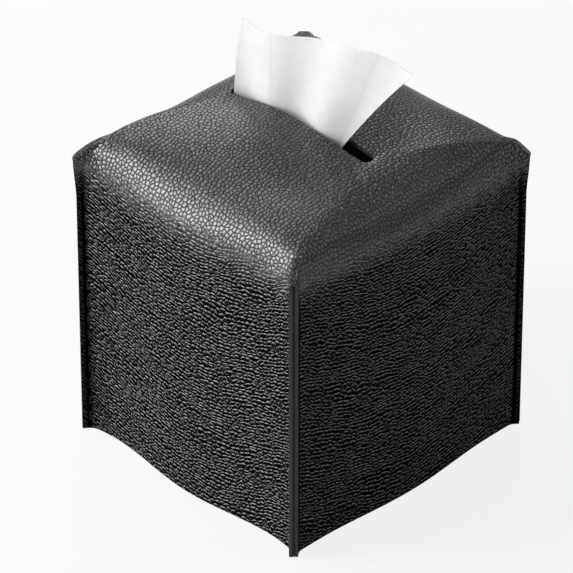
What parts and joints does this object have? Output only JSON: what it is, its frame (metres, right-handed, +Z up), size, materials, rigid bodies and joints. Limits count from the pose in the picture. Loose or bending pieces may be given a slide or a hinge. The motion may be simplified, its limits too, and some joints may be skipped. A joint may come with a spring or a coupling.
{
  "type": "tissue box cover",
  "caption": "Soft square leather tissue box cover with sewn corner seams and a slot in its top, over a carton of tissues with one tissue drawn up through the slot.",
  "frame": {"origin": "middle of the plan, on the surface that the carton and the cover's hem stand on", "axes": "+Z up; the slot in the top runs along X, and the drawn tissue leans towards +X; the pictured front corner is at +X -Y"},
  "size_m": [0.125, 0.1316, 0.1933],
  "materials": {
    "leather": "satin",
    "suede_lining": "matte",
    "thread": "matte",
    "board": "matte",
    "film": "gloss",
    "tissue": "matte"
  },
  "bodies": {
    "refill": {"refill_carton": "board", "carton_film": "film", "tissue_stack": "tissue"},
    "cover": {"leather_cover": "leather", "lining": "suede_lining", "seam_thread_front": "thread", "seam_thread_right": "thread", "seam_thread_back": "thread", "seam_thread_left": "thread"},
    "tissue": {"tissue_sheet": "tissue"}
  },
  "joints": [
    {"name": "cover_lift", "type": "slide", "parent": "refill", "child": "cover", "axis": [0, 0, 1], "range_m": [0, 0.2], "deforming": ["tissue_sheet"]},
    {"name": "tissue_pull", "type": "slide", "parent": "refill", "child": "tissue", "axis": [0, 0, 1], "range_m": [0, 0.1]}
  ]
}
